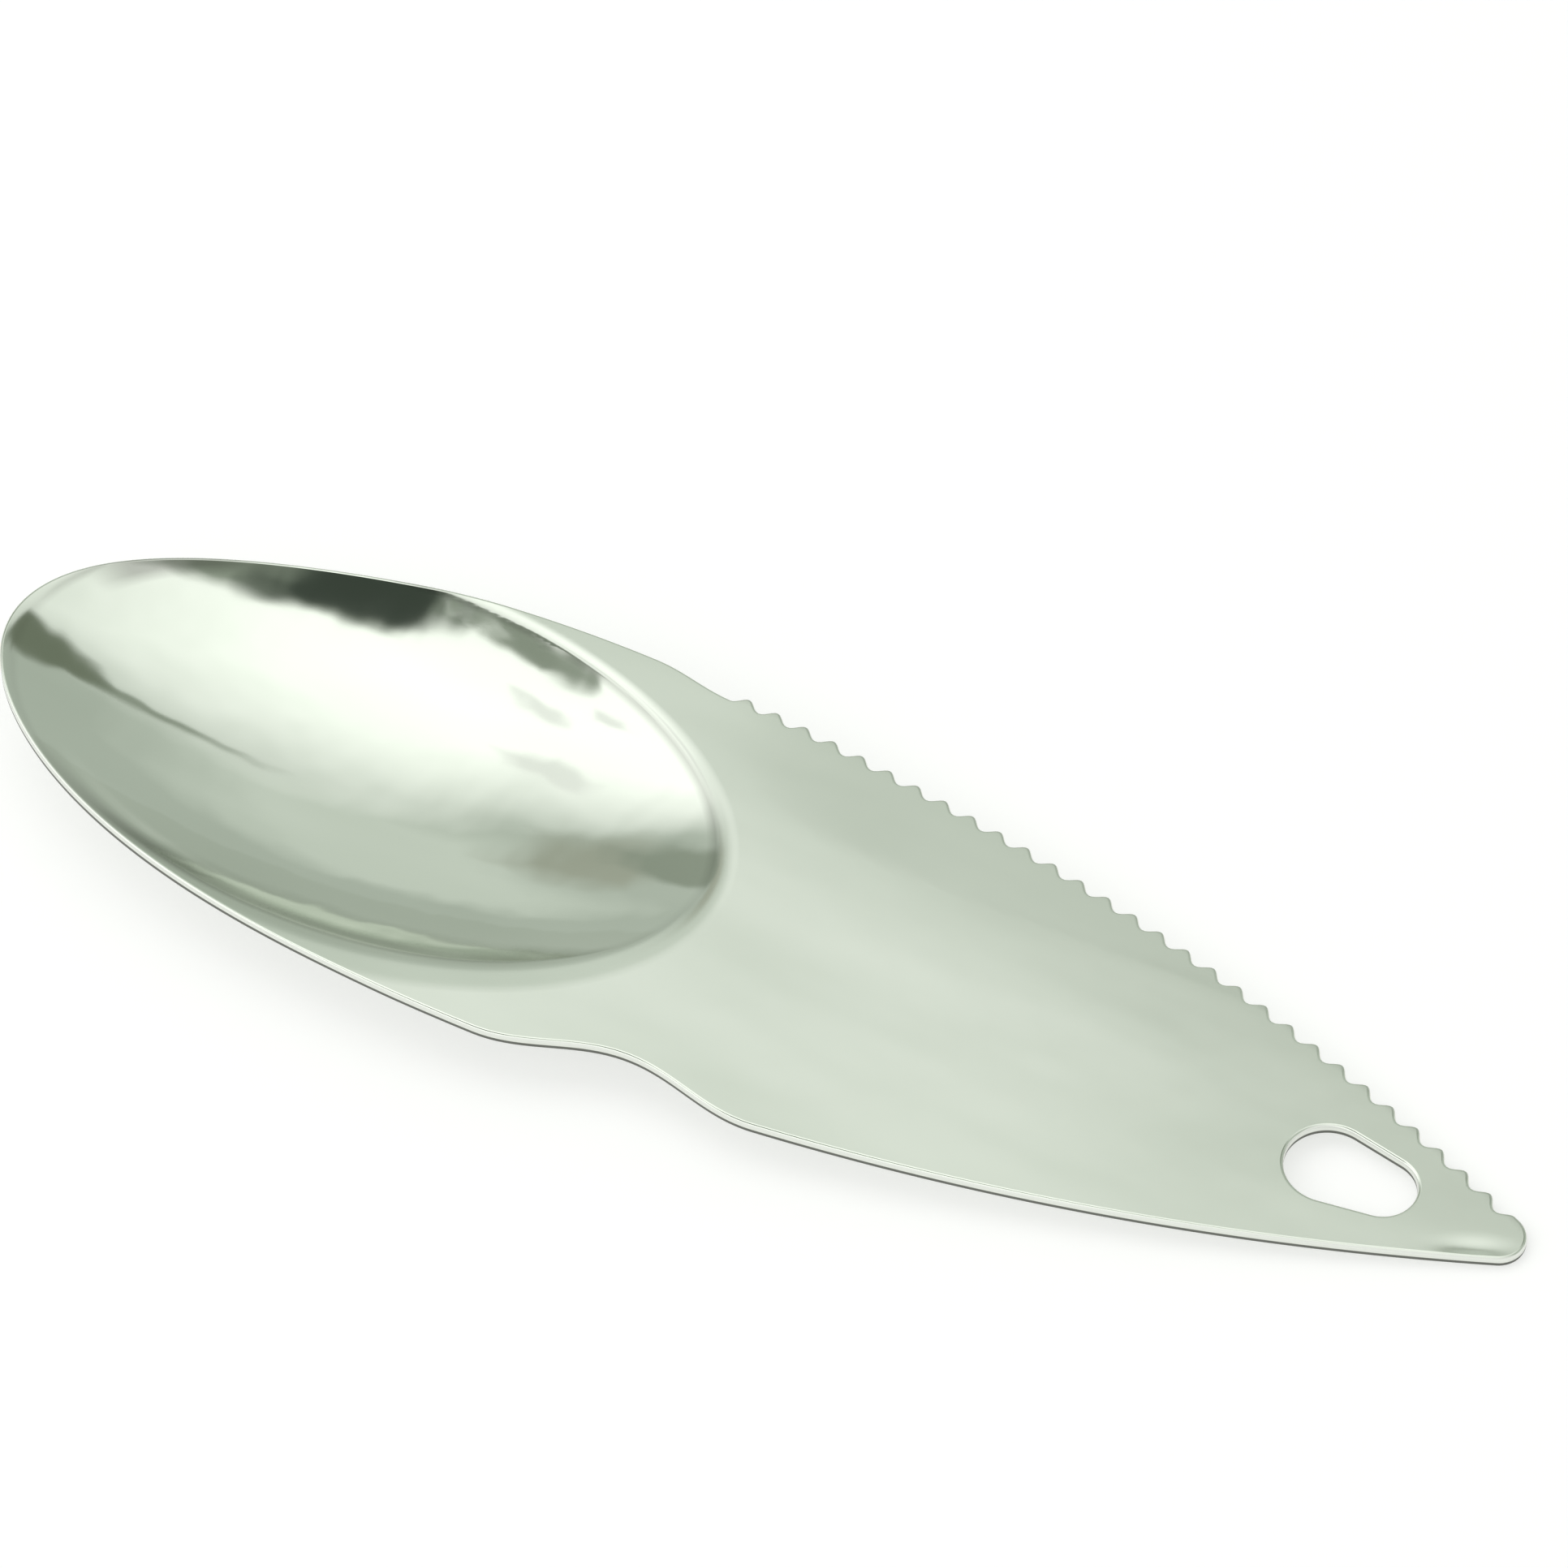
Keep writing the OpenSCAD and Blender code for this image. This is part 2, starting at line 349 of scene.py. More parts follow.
class PressedSheet:
    """The spoon's sheet before it is laid on the table, in millimetres.

    x runs from the bowl end to the tip, y towards the teeth, and z up from the blade's upper face. Both
    faces are heights over the plan, because the sheet was blanked straight down.
    """

    def __init__(self, sizes):
        for name in SheetSizes.__annotations__:
            setattr(self, name, getattr(sizes, name) / MM)
        # These two aren't lengths.
        self.grind_slope = math.tan(sizes.grind_angle)
        self.grind_rise = sizes.grind_rise
        self.half_w = self.blank_w / 2
        self.tip_x = self.blank_l - self.tip_r
        run = self.tip_x - self.widest_x
        self.edge_r = (run**2 + self.half_w**2 - self.tip_r**2) / (2 * (self.half_w - self.tip_r))
        self.edge_angle = math.asin(run / (self.edge_r - self.tip_r))
        self.edge_len = self.edge_r * self.edge_angle
        tooth_n = math.floor((self.edge_len - self.teeth_start) / self.tooth_pitch - 0.5)
        self.teeth_end = self.teeth_start + (tooth_n + 0.5) * self.tooth_pitch
        self.mouth_r = self.bowl_w / 2
        self.stretch = np.array((self.bowl_l / self.bowl_w, 1))
        self.bowl_c = np.array((self.bowl_x, 0))
        self.dish_r = (self.mouth_r**2 + self.bowl_depth**2) / (2 * self.bowl_depth) - self.rim_r
        self.dish_z = self.dish_r - self.bowl_depth

    def along(self, x):
        """The distance along an edge from the widest place to x."""
        return self.edge_r * math.asin((x - self.widest_x) / self.edge_r)

    def edge(self, s, cut):
        """Points on the long edge at distances s along it, cut back by as much as given."""
        a = s / self.edge_r
        r = self.edge_r - cut
        return np.column_stack((self.widest_x + r * np.sin(a), self.half_w - self.edge_r + r * np.cos(a)))

    def tooth_cut(self, s):
        """How deep the teeth cut. The edge sinks into the first gullet and ends on the last crest."""
        lead = 1 - np.cos(np.pi * s / self.teeth_start)
        wave = 1 + np.cos(2 * np.pi * (s - self.teeth_start) / self.tooth_pitch)
        return np.where(s < self.teeth_start, lead, np.where(s < self.teeth_end, wave, 0)) * self.tooth_h / 2

    def notch_cut(self, s):
        """How deep the finger notch cuts into the plain edge."""
        off = (s - self.along(self.notch_x)) / self.notch_l
        return np.where(np.abs(off) < 0.5, 1 + np.cos(2 * np.pi * off), 0) * self.notch_depth / 2

    def rim(self, plan):
        """Distances from the bowl's middle, as if the bowl were round, the rim's radius and both its lines.

        The last one is how far a place lies to the notch's side, from 0 towards the teeth to 1 opposite.
        """
        across = (plan - self.bowl_c) / self.stretch
        rho = np.hypot(*across.T)
        aside = (1 - across[:, 1] / np.maximum(rho, self.sheet_t)) / 2
        radius = self.rim_r + (self.soft_rim_r - self.rim_r) * aside**4
        mouth = np.sqrt(self.bowl_depth * (2 * (self.dish_r + radius) - self.bowl_depth))
        return rho, radius, mouth, mouth * self.dish_r / (self.dish_r + radius), aside

    def face(self, plan, drop):
        """The height of one face of the pressed sheet, which lies inside the metal by drop."""
        rho, radius, mouth, wall, _ = self.rim(plan)
        turn_r = mouth - (mouth - wall) * (radius - drop) / radius
        over = np.sqrt(np.maximum((radius - drop) ** 2 - (mouth - rho) ** 2, 0)) - radius
        dish = self.dish_z - np.sqrt((self.dish_r + drop) ** 2 - np.minimum(rho, turn_r) ** 2)
        return np.where(rho < turn_r, dish, np.where(rho < mouth, over, -drop))

    def grind(self, plan):
        """How far down the wheel was at points of the plan view, and how far they lie beyond its line."""
        x, y = plan.T
        start, end = GRIND_START
        down = np.interp(x, GRIND_START, (0, 1))
        sweep = GRIND_SWEEP * np.exp(-np.maximum(x - start, 0) / GRIND_SWEEP_RUN)
        line = self.grind_y + self.grind_rise * (x - end) + sweep
        return down * down * (3 - 2 * down), y - line

    def top(self, plan):
        """The upper face, thinned towards the teeth by the grinding wheel."""
        down, out = self.grind(plan)
        blend = self.grind_blend * (GRIND_SOFT - (GRIND_SOFT - 1) * down)
        ground = self.grind_slope * down * (out + np.hypot(out, blend)) / 2
        off = plan - DENT_AT
        off[:, 1] -= DENT_RISE * off[:, 0]
        dent = self.dent_h * np.exp(-((off / DENT_SIZE) ** 2).sum(axis=1))
        return self.face(plan, 0) - ground - dent

    def under(self, plan):
        """The lower face."""
        return self.face(plan, self.sheet_t)

    def normals(self, height, plan):
        """The upward normals of a face."""
        step = 0.01
        rise = [height(plan + d) - height(plan - d) for d in np.eye(2) * step]
        up = np.column_stack((-rise[0], -rise[1], np.full(len(plan), 2 * step)))
        return up / np.linalg.norm(up, axis=1)[:, None]

    def outline(self, inside=0):
        """The outline's stretches, clockwise from above, each ending where the next one starts.

        With inside, they lie that far inside the blank as it was before its teeth were cut.
        """
        pitch = self.tooth_pitch
        start = self.along(self.bowl_x + self.bowl_l / 2 + MOUTH_GAP)
        end = self.along(self.blank_l - self.slot_back - self.slot_wide / 2 - SLOT_GAP)
        near = self.teeth_start + math.ceil((start - self.teeth_start) / pitch) * pitch
        far = self.teeth_start + math.floor((end - self.teeth_start) / pitch) * pitch

        def steps(start, end, count):
            return np.linspace(start, end, round(count), endpoint=False)

        def teeth(start, end):
            return steps(start, end, (end - start) / pitch * TOOTH_STEPS)

        def toothed(*runs):
            s = np.concatenate(runs)
            return self.edge(s, inside or self.tooth_cut(s))

        def back(s):
            return self.edge(s, inside + self.notch_cut(s)) * (1, -1)

        middle = teeth(near, far)
        nose = turn(steps(270, 90, NOSE_STEPS)) * (self.widest_x - inside, self.half_w - inside)
        tip_turn = 90 - math.degrees(self.edge_angle)
        tip = turn(steps(tip_turn, -tip_turn, TIP_STEPS)) * (self.tip_r - inside)
        return [
            back(steps(near, 0, NEAR_STEPS)),
            nose + (self.widest_x, 0),
            toothed(steps(0, self.teeth_start, LEAD_STEPS), teeth(self.teeth_start, near)),
            toothed(middle),
            toothed(teeth(far, self.teeth_end), [self.teeth_end]),
            tip + (self.tip_x, 0),
            back(steps(self.edge_len, far, FAR_STEPS)),
            back(steps(far, near, len(middle))),
        ]

    def slot(self, counts):
        """The slot's outline, clockwise from its lower left, with as many steps as each stretch round it."""
        r1, r2 = self.slot_wide / 2, self.slot_narrow / 2
        apart = self.slot_l - r1 - r2
        touch = math.degrees(math.acos((r1 - r2) / apart))
        wide = np.array((self.blank_l - self.slot_back, 0))
        narrow = wide + (apart, 0)
        fine = 90
        upper = np.concatenate((
            wide + r1 * turn(np.linspace(135, touch, fine)), narrow + r2 * turn(np.linspace(touch, 45, fine))
        ))
        return np.concatenate((
            resample(wide + r1 * turn(np.linspace(225, 135, fine)), counts[0]),
            resample(upper, counts[1]),
            resample(narrow + r2 * turn(np.linspace(45, -45, fine)), counts[2]),
            resample(upper[::-1] * (1, -1), counts[3]),
        ))


def sheet_nets(sheet):
    """The plan of the sheet's face as grids of points, and its outline and slot with outward normals."""
    outline = np.concatenate(sheet.outline())
    out = outward(outline)
    stretches = sheet.outline(sheet.strip_w)
    inner = np.concatenate(stretches)
    strip = closed(np.linspace(inner, outline - out * sheet.edge_round, STRIP_RINGS + 1))
    starts = np.cumsum([0] + [len(s) for s in stretches])
    back_near, nose, teeth_near, teeth_mid, teeth_far, tip, back_far, back_mid = (
        inner[np.arange(a, b + 1) % len(inner)] for a, b in zip(starts, starts[1:])
    )
    near = spread(teeth_mid[0], back_mid[-1], ROWS)
    far = spread(teeth_mid[-1], back_mid[0], ROWS)
    blade = coons(teeth_mid, back_mid[::-1], near, far)

    bowl_edge = np.concatenate((back_near[:-1], nose[:-1], teeth_near[:-1], near[:-1]))
    ray = (bowl_edge - sheet.bowl_c) / sheet.stretch
    reach, _, mouth, wall, _ = sheet.rim(bowl_edge)
    wall = np.minimum(wall, WALL_REACH * reach)
    mouth = np.minimum(mouth, RIM_REACH * reach)
    rings = np.concatenate((
        np.linspace(np.full(len(reach), FLOOR_SHARE * sheet.mouth_r), wall, WALL_RINGS, endpoint=False),
        np.linspace(wall, mouth, RIM_RINGS, endpoint=False),
        np.linspace(mouth, reach, MARGIN_RINGS + 1),
    ))
    bowl = closed(sheet.bowl_c + (rings / reach)[:, :, None] * ray * sheet.stretch)
    a, b, c, d = (bowl[0, np.append(side, side[-1] + 1)] for side in np.split(np.arange(len(ray)), 4))
    floor = coons(a, c[::-1], d[::-1], b)

    slot = sheet.slot((ROWS, len(teeth_far) - 1, len(tip) - 1, len(back_far) - 1))
    slot_out = -outward(slot)
    tip_edge = np.concatenate((far[:0:-1], teeth_far[:-1], tip[:-1], back_far[:-1]))
    tip_rings = closed(np.linspace(slot - slot_out * sheet.edge_round, tip_edge, SLOT_RINGS + 1))
    return [floor, bowl, blade, tip_rings, strip], [(outline, out), (slot, slot_out)]


def rounded_edge(sheet, line, out, face, sign):
    """Rings of points and normals that turn from a face of the sheet, up for sign 1, into its wall."""
    points, normals = [], []
    flat = np.column_stack((out, np.zeros(len(out))))
    for degrees in EDGE_TURNS:
        cos, sin = math.cos(math.radians(degrees)), math.sin(math.radians(degrees))
        plan = line - out * sheet.edge_round * (1 - sin)
        points.append(np.column_stack((plan, face(plan) - sign * sheet.edge_round * (1 - cos))))
        normals.append(sign * sheet.normals(face, plan) * cos + flat * sin)
    return points, normals


def sheet_mesh(sheet):
    """Points, normals and faces of the whole sheet, and how far each point is cut bright or tears dark,
    which also paints a highlight on the upper part of the edges and shade on the lower part.
    """
    nets, lines = sheet_nets(sheet)
    parts = nets + [line - out * sheet.edge_round for line, out in lines]
    plan = np.concatenate([p.reshape(-1, 2) for p in parts])
    _, first, number = np.unique(plan.round(4), axis=0, return_index=True, return_inverse=True)
    plan = plan[first]
    numbers = np.split(number.ravel(), np.cumsum([p.size // 2 for p in parts])[:-1])
    points = [np.column_stack((plan, sheet.top(plan))), np.column_stack((plan, sheet.under(plan)))]
    normals = [sheet.normals(sheet.top, plan), -sheet.normals(sheet.under, plan)]
    cut, torn_and_shaded = [np.zeros(2 * len(plan))], [np.zeros(2 * len(plan))]
    faces = []
    for net, ids in zip(nets, numbers):
        made = quads(ids.reshape(net.shape[:2]))
        faces += [made, made + len(plan)]
    count = 2 * len(plan)
    for (line, out), ids in zip(lines, numbers[len(nets) :]):
        upper, upper_normals = rounded_edge(sheet, line, out, sheet.top, 1)
        lower, lower_normals = rounded_edge(sheet, line, out, sheet.under, -1)
        points += upper + [upper[-1] + (lower[-1] - upper[-1]) * t for t in WALL_SHARES] + lower[::-1]
        normals += upper_normals + upper_normals[-1:] * len(WALL_SHARES) + lower_normals[::-1]
        # The upper wall rings carry a painted highlight and the lower ones painted shade, besides cutting and
        # tearing.
        cut.append(np.repeat(CUT_AND_HIGHLIGHT, len(line)))
        torn_and_shaded.append(np.repeat(TORN_AND_SHADED, len(line)))
        rings = np.arange(len(TORN_AND_SHADED) * len(line)).reshape(-1, len(line)) + count
        count += rings.size
        faces.append(quads(closed(np.vstack((ids, rings, ids + len(plan))))))
    return [np.concatenate(made) for made in (points, normals, faces, cut, torn_and_shaded)]


def polishing(sheet, points):
    """How far each point was buffed to a mirror, how much duller it is or painted with shade, and its painted
    sheen.
    """
    plan = points[:, :2]
    x, y = plan.T
    rho, _, _, wall, aside = sheet.rim(plan)
    above = rho - wall
    near = np.interp(aside, *NEAR_ROUND)
    # The rim line, the corner and the lip are painted dark reflections.
    line = np.interp(above, *RIM_LINE) * np.interp(aside, *RIM_LINE_ROUND)
    corner = np.interp(above, *CORNER) * near
    # A painted highlight, a bright line beside the painted dark corner.
    highlight_streak = np.interp(above, *HIGHLIGHT_STREAK) * near
    lip = np.interp(above, *LIP) * np.interp(aside, *LIP_ROUND) * ((above < 0) & (x < sheet.bowl_x))
    down, out = sheet.grind(plan)
    ground = np.interp(out, *GROUND_DULL) * down
    inside = sheet.edge_r - np.hypot(x - sheet.widest_x, y - sheet.half_w + sheet.edge_r)
    toothed = (y > 0) & (x > sheet.widest_x + sheet.teeth_start)
    wheel = np.maximum(ground, np.interp(inside, *CREST_DULL) * toothed)
    upper = points[:, 2] > -sheet.sheet_t / 2
    # The blade's painted sheen, brightest at its middle.
    sheen_spot = np.exp(-(((plan - SHEEN_AT) / SHEEN_SIZE) ** 2).sum(axis=1))
    return {
        "buffing": np.interp(above, *BUFFED),
        "dull_and_painted_shade": np.maximum.reduce((line + corner, lip, wheel * upper)),
        "painted_sheen": sheen_spot + highlight_streak,
    }


def lay_down(sheet):
    """The matrix that lays the sheet on the table, on its bowl and the underside of its tip, in metres."""
    dx = (sheet.blank_l - sheet.bowl_x) / sheet.stretch[0]
    dz = -sheet.sheet_t - sheet.dish_z
    slope = math.atan2(dz, dx) + math.asin((sheet.dish_r + sheet.sheet_t) / math.hypot(dx, dz))
    tilt = math.atan(math.tan(slope) / sheet.stretch[0])
    lift = sheet.blank_l * math.sin(tilt) + sheet.sheet_t * math.cos(tilt)
    middle = sheet.blank_l * math.cos(tilt) / 2
    return Matrix.Scale(MM, 4) @ Matrix.Translation((-middle, 0, lift)) @ Matrix.Rotation(tilt, 4, "Y")


def add_node(tree, kind, inputs=None, **settings):
    """Adds a node, sets it up and fills its sockets with values or with links from other sockets."""
    node = tree.nodes.new(kind)
    for name, value in settings.items():
        setattr(node, name, value)
    for socket, value in (inputs or {}).items():
        if isinstance(value, bpy.types.NodeSocket):
            tree.links.new(value, node.inputs[socket])
        else:
            node.inputs[socket].default_value = value
    return node


def new_material(name):
    """An empty material with its output node."""
    material = bpy.data.materials.new(name)
    material.use_nodes = True
    material.node_tree.nodes.clear()
    return material, material.node_tree, add_node(material.node_tree, "ShaderNodeOutputMaterial")


def steel_material(finish):
    """Austenitic stainless sheet, pressed, then buffed in the bowl and left satin on the blade.

    The bowl mirrors the room and the blade only glows with it. Fine polishing lines run along the blade, and
    the polish is a little duller in soft patches along the blade, on the ground face and on the crests of the
    teeth.
    Painted light is in the colour too: a sheen on the middle of the blade, dark reflections under and along the
    rim with a highlight beside them, and on every edge, which blanking cuts bright above and tears dark below,
    a painted highlight above and painted shade below.
    """
    material, tree, output = new_material("buffed_stainless_steel")
    where = add_node(tree, "ShaderNodeTexCoord").outputs["Object"]
    buffing, dull_and_painted_shade, painted_sheen, cut, torn_and_shaded = (
        add_node(tree, "ShaderNodeAttribute", attribute_name=name).outputs["Fac"]
        for name in ("buffing", "dull_and_painted_shade", "painted_sheen", "cut", "torn_and_shaded")
    )
    # A real line is a few hundredths of a millimetre wide. That is too fine to show, so it is drawn coarser.
    drawn = add_node(
        tree, "ShaderNodeMapping", {"Vector": where, "Scale": (1 / finish.line_run, 1 / finish.line_gap, 0)}
    )
    lines = add_node(
        tree, "ShaderNodeTexNoise", {"Vector": drawn.outputs[0], "Scale": 1, "Detail": 4, "Roughness": 0.6}
    )
    wiped = add_node(
        tree, "ShaderNodeMapping", {"Vector": where, "Scale": (1 / finish.haze_run, 1 / finish.haze_size, 0)}
    )
    patches = add_node(
        tree, "ShaderNodeTexNoise", {"Vector": wiped.outputs[0], "Scale": 1, "Detail": 2, "Roughness": 0.4}
    )
    haze = add_node(
        tree, "ShaderNodeMapRange", {"Value": patches.outputs["Fac"], "From Min": 0.3, "From Max": 0.7}
    )
    ripples = add_node(
        tree,
        "ShaderNodeTexNoise",
        {"Vector": where, "Scale": 1 / finish.ripple_size, "Detail": 1, "Roughness": 0.4},
    )
    # The painted sheen is weaker in the duller patches.
    kept = add_node(tree, "ShaderNodeMapRange", {"Value": haze.outputs[0], "To Min": 1, "To Max": 0.5})
    shine = add_node(tree, "ShaderNodeMath", {0: painted_sheen, 1: kept.outputs[0]}, operation="MULTIPLY")
    tint = (*finish.steel, 1)
    # Besides duller patches and ground face, the layers paint a sheen, dark reflections, and edge highlight and
    # shade.
    layers = (
        (haze.outputs[0], finish.haze),
        (shine.outputs[0], finish.bright),
        (dull_and_painted_shade, finish.dull),
        (cut, finish.cut),
        (torn_and_shaded, finish.torn_and_shaded),
    )
    for amount, tone in layers:
        mixed = add_node(
            tree, "ShaderNodeMix", {"Factor": amount, "A": tint, "B": (*tone, 1)}, data_type="RGBA"
        )
        tint = mixed.outputs["Result"]
    uneven = add_node(
        tree, "ShaderNodeMapRange", {"Value": lines.outputs["Fac"], "To Min": 0.95, "To Max": 1.05}
    )
    base = add_node(
        tree,
        "ShaderNodeMapRange",
        {"Value": buffing, "To Min": finish.blade_rough, "To Max": finish.bowl_rough},
    )
    polished = add_node(
        tree, "ShaderNodeMath", {0: base.outputs[0], 1: uneven.outputs[0]}, operation="MULTIPLY"
    )
    rough = add_node(
        tree,
        "ShaderNodeMath",
        {0: cut, 1: finish.cut_rough, 2: polished.outputs[0]},
        operation="MULTIPLY_ADD",
    )
    rough = add_node(
        tree, "ShaderNodeMath", {0: torn_and_shaded, 1: finish.torn_rough, 2: rough.outputs[0]}, operation="MULTIPLY_ADD"
    )
    depth = add_node(tree, "ShaderNodeMapRange", {"Value": buffing, "To Min": 0.15, "To Max": 1})
    pressed = add_node(
        tree,
        "ShaderNodeBump",
        {"Height": ripples.outputs["Fac"], "Strength": depth.outputs[0], "Distance": finish.ripple_h},
    )
    brushed = add_node(
        tree,
        "ShaderNodeBump",
        {
            "Height": lines.outputs["Fac"],
            "Strength": 0.01,
            "Distance": 0.02 * MM,
            "Normal": pressed.outputs[0],
        },
    )
    steel = add_node(
        tree,
        "ShaderNodeBsdfPrincipled",
        {"Base Color": tint, "Metallic": 1, "Roughness": rough.outputs[0], "Normal": brushed.outputs[0]},
    )
    tree.links.new(steel.outputs[0], output.inputs["Surface"])
    return material


def seen_share(tree):
    """1 for rays from the eye, also by way of metal or glass, and 0 for the rays that light a surface."""
    path = add_node(tree, "ShaderNodeLightPath")
    seen = path.outputs["Is Camera Ray"]
    for kind in ("Is Glossy Ray", "Is Transmission Ray"):
        either = add_node(tree, "ShaderNodeMath", {0: seen, 1: path.outputs[kind]}, operation="MAXIMUM")
        seen = either.outputs[0]
    return seen


def table_material(studio):
    """Matt laminate, pale and lit until it looks white, which still takes the spoon's soft shadow."""
    material, tree, output = new_material("matt_laminate")
    matt = add_node(tree, "ShaderNodeBsdfDiffuse", {"Color": (*studio.table, 1)})
    seen = add_node(
        tree, "ShaderNodeMath", {0: seen_share(tree), 1: studio.table_light}, operation="MULTIPLY"
    )
    glow = add_node(tree, "ShaderNodeEmission", {"Strength": seen.outputs[0]})
    both = add_node(tree, "ShaderNodeAddShader", {0: matt.outputs[0], 1: glow.outputs[0]})
    tree.links.new(both.outputs[0], output.inputs["Surface"])
    return material


def cloth_material(name, tint, light):
    """Woven cloth, lit evenly, whose hem is thin enough to see through."""
    material, tree, output = new_material(name)
    weave = add_node(tree, "ShaderNodeAttribute", attribute_name="weave")
    glow = add_node(tree, "ShaderNodeEmission", {"Color": (*tint, 1), "Strength": light})
    clear = add_node(tree, "ShaderNodeBsdfTransparent")
    both = add_node(
        tree, "ShaderNodeMixShader", {0: weave.outputs["Fac"], 1: clear.outputs[0], 2: glow.outputs[0]}
    )
    tree.links.new(both.outputs[0], output.inputs["Surface"])
    return material


def stage_mesh(name, points, faces, material):
    """An object of the stage."""
    mesh = bpy.data.meshes.new(name)
    mesh.from_pydata(points, [], faces)
    mesh.materials.append(material)
    made = bpy.data.objects.new(name, mesh)
    bpy.context.scene.collection.objects.link(made)
    return made


def shrunk(places, share):
    """The same outline, drawn in towards its middle."""
    places = np.array(places)
    middle = places.mean(axis=0)
    return middle + (places - middle) * share


def hung_cloth(name, hem, dense, material):
    """A cloth of the light tent that the camera doesn't see. It thins out from its dense part to its hem."""
    n = len(hem)
    faces = [(i, (i + 1) % n, n + (i + 1) % n, n + i) for i in range(n)]
    faces.append(tuple(range(n, 2 * n)))
    cloth = stage_mesh(name, [*hem, *dense], faces, material)
    weave = cloth.data.attributes.new("weave", "FLOAT", "POINT")
    weave.data.foreach_set("value", [0.0] * n + [1.0] * n)
    cloth.visible_camera = False
    return cloth


class SPOON_OT_press_sheet(bpy.types.Operator):
    """Makes the pressed, toothed and polished sheet"""

    bl_idname = "spoon.press_sheet"
    bl_label = "Press sheet"

    def execute(self, context):
        sheet = PressedSheet(context.scene.spoon_sheet)
        points, normals, faces, cut, torn_and_shaded = sheet_mesh(sheet)
        mesh = bpy.data.meshes.new("polished_spoon")
        mesh.from_pydata(points.tolist(), [], faces.tolist())
        shape = bmesh.new()
        shape.from_mesh(mesh)
        bmesh.ops.recalc_face_normals(shape, faces=shape.faces)
        shape.to_mesh(mesh)
        shape.free()
        for name, values in {**polishing(sheet, points), "cut": cut, "torn_and_shaded": torn_and_shaded}.items():
            mesh.attributes.new(name, "FLOAT", "POINT").data.foreach_set("value", values.astype(np.float32))
        place = lay_down(sheet)
        mesh.transform(place)
        mesh.shade_smooth()
        turned = normals @ np.array(place.to_3x3().normalized()).T
        mesh.normals_split_custom_set_from_vertices(turned.tolist())
        mesh.materials.append(steel_material(context.scene.spoon_finish))
        spoon = bpy.data.objects.new("polished_spoon", mesh)
        context.scene.collection.objects.link(spoon)
        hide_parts(NODE)
        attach(spoon, "root")
        return {"FINISHED"}


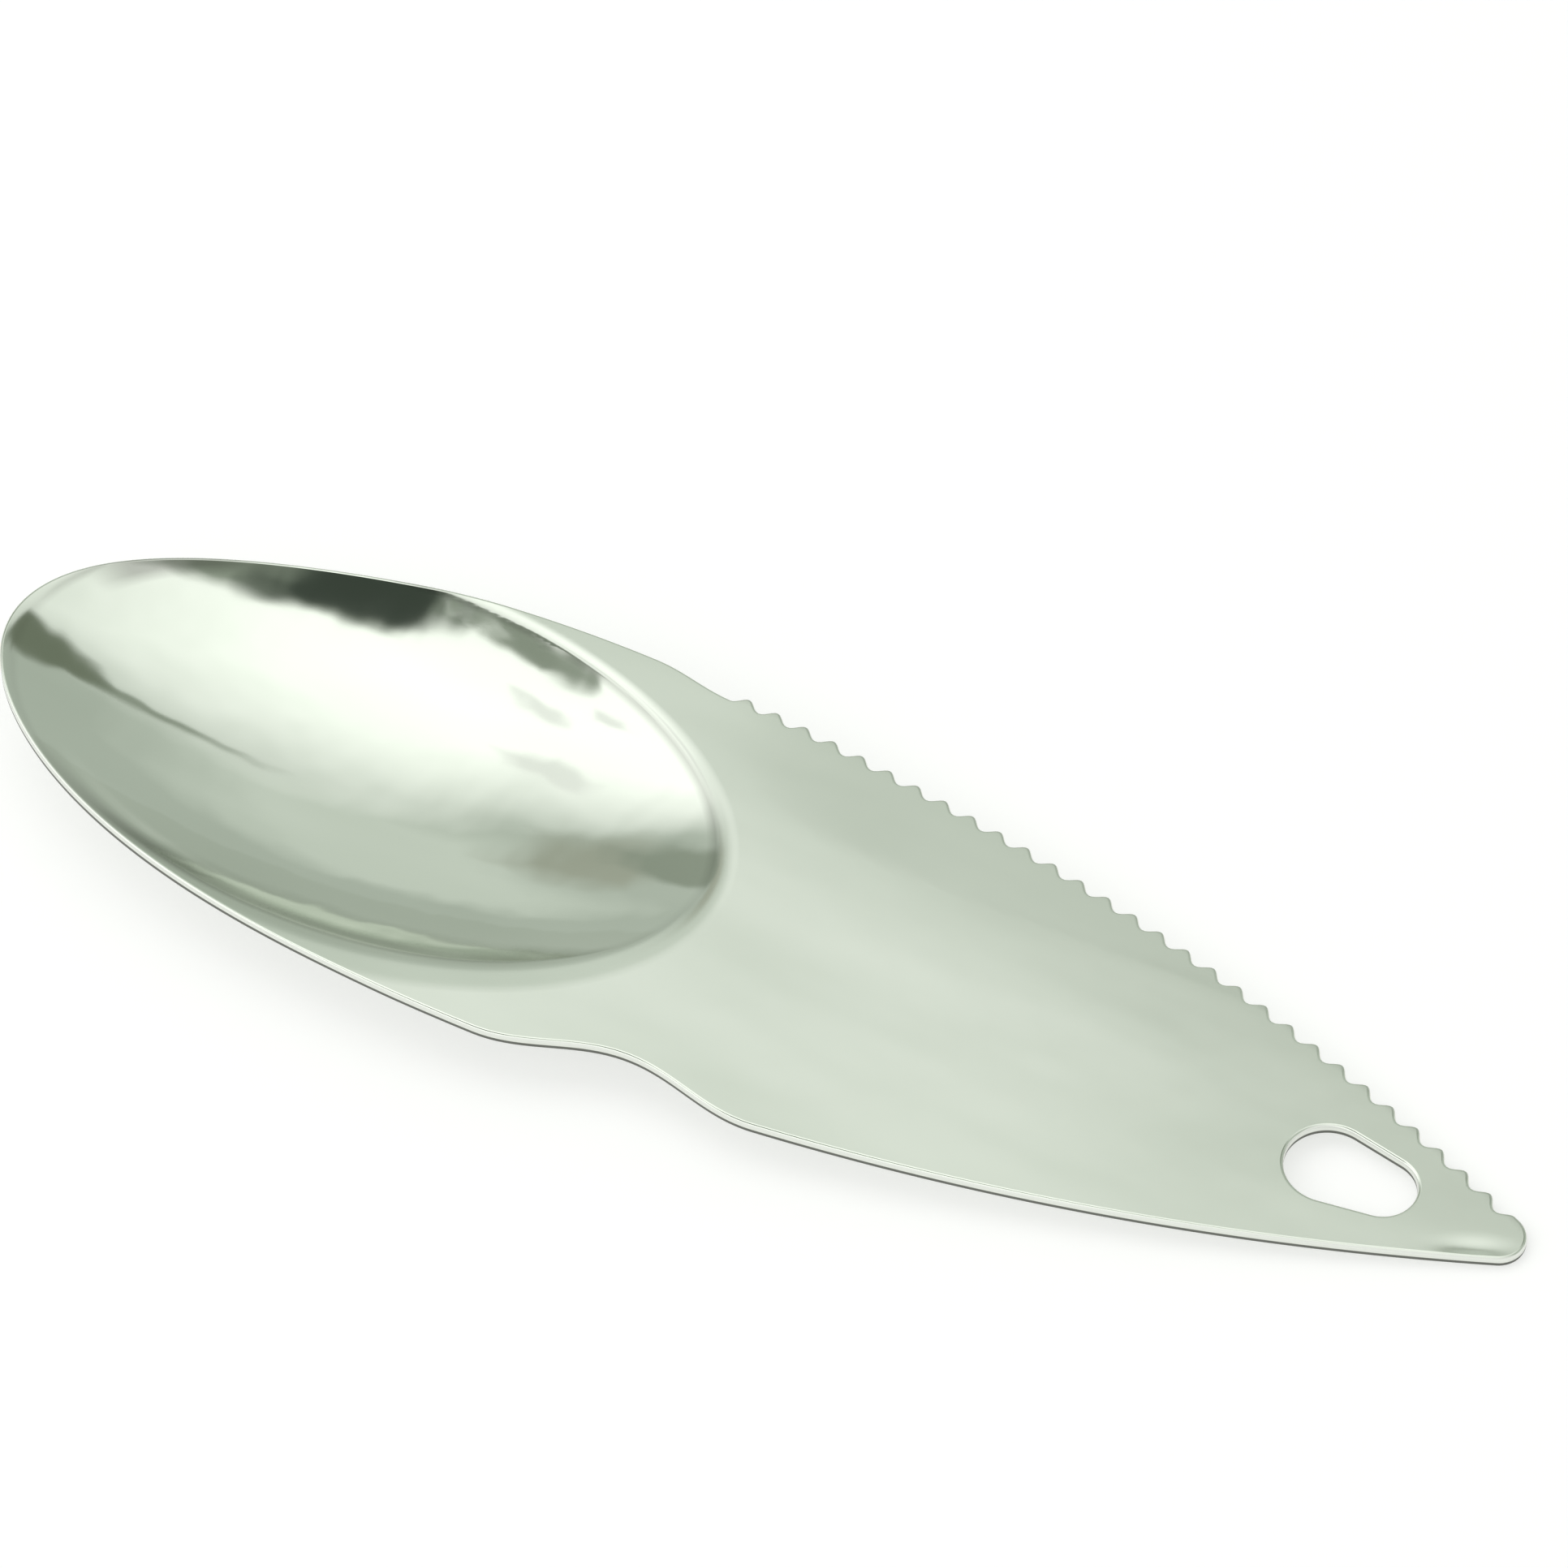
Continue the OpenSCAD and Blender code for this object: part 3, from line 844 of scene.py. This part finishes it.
class SPOON_OT_set_stage(bpy.types.Operator):
    """Makes the table, the light tent and the camera"""

    bl_idname = "spoon.set_stage"
    bl_label = "Set stage"

    def execute(self, context):
        studio = context.scene.spoon_studio
        reach = 3
        corners = [(-reach, -reach, 0), (reach, -reach, 0), (reach, reach, 0), (-reach, reach, 0)]
        stage_mesh("table", corners, [(0, 1, 2, 3)], table_material(studio))
        self.hang_tent(studio)
        self.light_sky(context.scene, studio)
        self.place_camera(context.scene, studio)
        context.scene.view_settings.view_transform = "Standard"
        return {"FINISHED"}

    def hang_tent(self, studio):
        """Hangs the cloths that the steel mirrors."""
        high = studio.tent_height
        sizes = bpy.context.scene.spoon_sheet
        bowl_x = sizes.bowl_x - sizes.blank_l / 2

        def overhead(places, lift):
            return [(bowl_x + x * high * lift, y * high * lift, high * lift) for x, y in places]

        felt = cloth_material("grey_felt", studio.felt, 1)
        stuffs = {
            "roof": cloth_material("roof_cloth", studio.roof, 1),
            "creased": cloth_material("creased_cloth", (1, 1, 1), studio.crease_light),
            "dim": cloth_material("dim_cloth", studio.dim, 1),
            "felt": felt,
            "velvet": cloth_material("black_velvet", studio.velvet, 1),
            "dark_felt": cloth_material("dark_felt", studio.dark_felt, 1),
        }
        for name, (stuff, dense, lift, places) in CLOTHS.items():
            hung_cloth(name, overhead(places, lift), overhead(shrunk(places, dense), lift), stuffs[stuff])
        lit = cloth_material("softbox_cloth", (1, 1, 1), studio.softbox_light)
        hung_cloth("softbox", overhead(SOFTBOX, 1), overhead(SOFTBOX_BRIGHT, 1), lit)
        bounced = cloth_material("bounce_cloth", studio.bounce, 1)
        hung_cloth("bounce", overhead(BOUNCE, BOUNCE_LIFT), overhead(BOUNCE_BRIGHT, BOUNCE_LIFT), bounced)

        left, right = WALL_ENDS
        back, top = WALL_BACK * high, WALL_TOP * high
        wall = np.array([(left, back, 0), (right, back, 0), (right, back, top), (left, back, top)])
        hung_cloth("back_wall", wall, shrunk(wall, 0.99), cloth_material("wall_cloth", studio.wall, 1))
        # The skirting hangs just in front of the wall and thins out upwards.
        skirting = wall * (1, 0.99, SKIRTING_TOP / WALL_TOP)
        hung_cloth("skirting", skirting, skirting * (0.9, 1, 0.2), felt)

    def light_sky(self, scene, studio):
        scene.world = bpy.data.worlds.new("white_studio")
        scene.world.use_nodes = True
        tree = scene.world.node_tree
        tree.nodes.clear()
        white = (1, 1, 1, 1)
        light = add_node(tree, "ShaderNodeBackground", {"Color": white, "Strength": studio.sky_light})
        sight = add_node(tree, "ShaderNodeBackground", {"Color": white, "Strength": 1})
        both = add_node(
            tree, "ShaderNodeMixShader", {0: seen_share(tree), 1: light.outputs[0], 2: sight.outputs[0]}
        )
        add_node(tree, "ShaderNodeOutputWorld", {"Surface": both.outputs[0]})

    def place_camera(self, scene, studio):
        data = bpy.data.cameras.new("camera")
        data.sensor_width = 36
        data.lens = studio.lens / MM
        data.clip_start = 0.01
        camera = bpy.data.objects.new("camera", data)
        scene.collection.objects.link(camera)
        flat = math.cos(studio.elevation)
        back = Vector((
            math.sin(studio.azimuth) * flat, -math.cos(studio.azimuth) * flat, math.sin(studio.elevation)
        ))
        turned = back.to_track_quat("Z", "Y").to_matrix().to_4x4() @ Matrix.Rotation(studio.roll, 4, "Z")
        camera.matrix_world = Matrix.Translation(Vector(studio.aim) + back * studio.distance) @ turned
        scene.camera = camera


class SPOON_PT_panel(bpy.types.Panel):
    """Lists what can be made"""

    bl_idname = "SPOON_PT_panel"
    bl_label = "Kiwi peeler spoon"
    bl_space_type = "VIEW_3D"
    bl_region_type = "UI"
    bl_category = "Spoon"

    def draw(self, context):
        for name, group in GROUPS:
            box = self.layout.box()
            for setting in group.__annotations__:
                box.prop(getattr(context.scene, name), setting)
        self.layout.operator(SPOON_OT_press_sheet.bl_idname)
        self.layout.operator(SPOON_OT_set_stage.bl_idname)


GROUPS = (("spoon_sheet", SheetSizes), ("spoon_finish", SteelFinish), ("spoon_studio", Studio))
CLASSES = (SheetSizes, SteelFinish, Studio, SPOON_OT_press_sheet, SPOON_OT_set_stage, SPOON_PT_panel)


def register():
    for made in CLASSES:
        bpy.utils.register_class(made)
    for name, group in GROUPS:
        setattr(bpy.types.Scene, name, bpy.props.PointerProperty(type=group))


def unregister():
    for name, _ in GROUPS:
        delattr(bpy.types.Scene, name)
    for made in reversed(CLASSES):
        bpy.utils.unregister_class(made)


def main():
    register()
    bpy.ops.spoon.press_sheet()
    bpy.ops.spoon.set_stage()


if __name__ == "__main__":
    main()
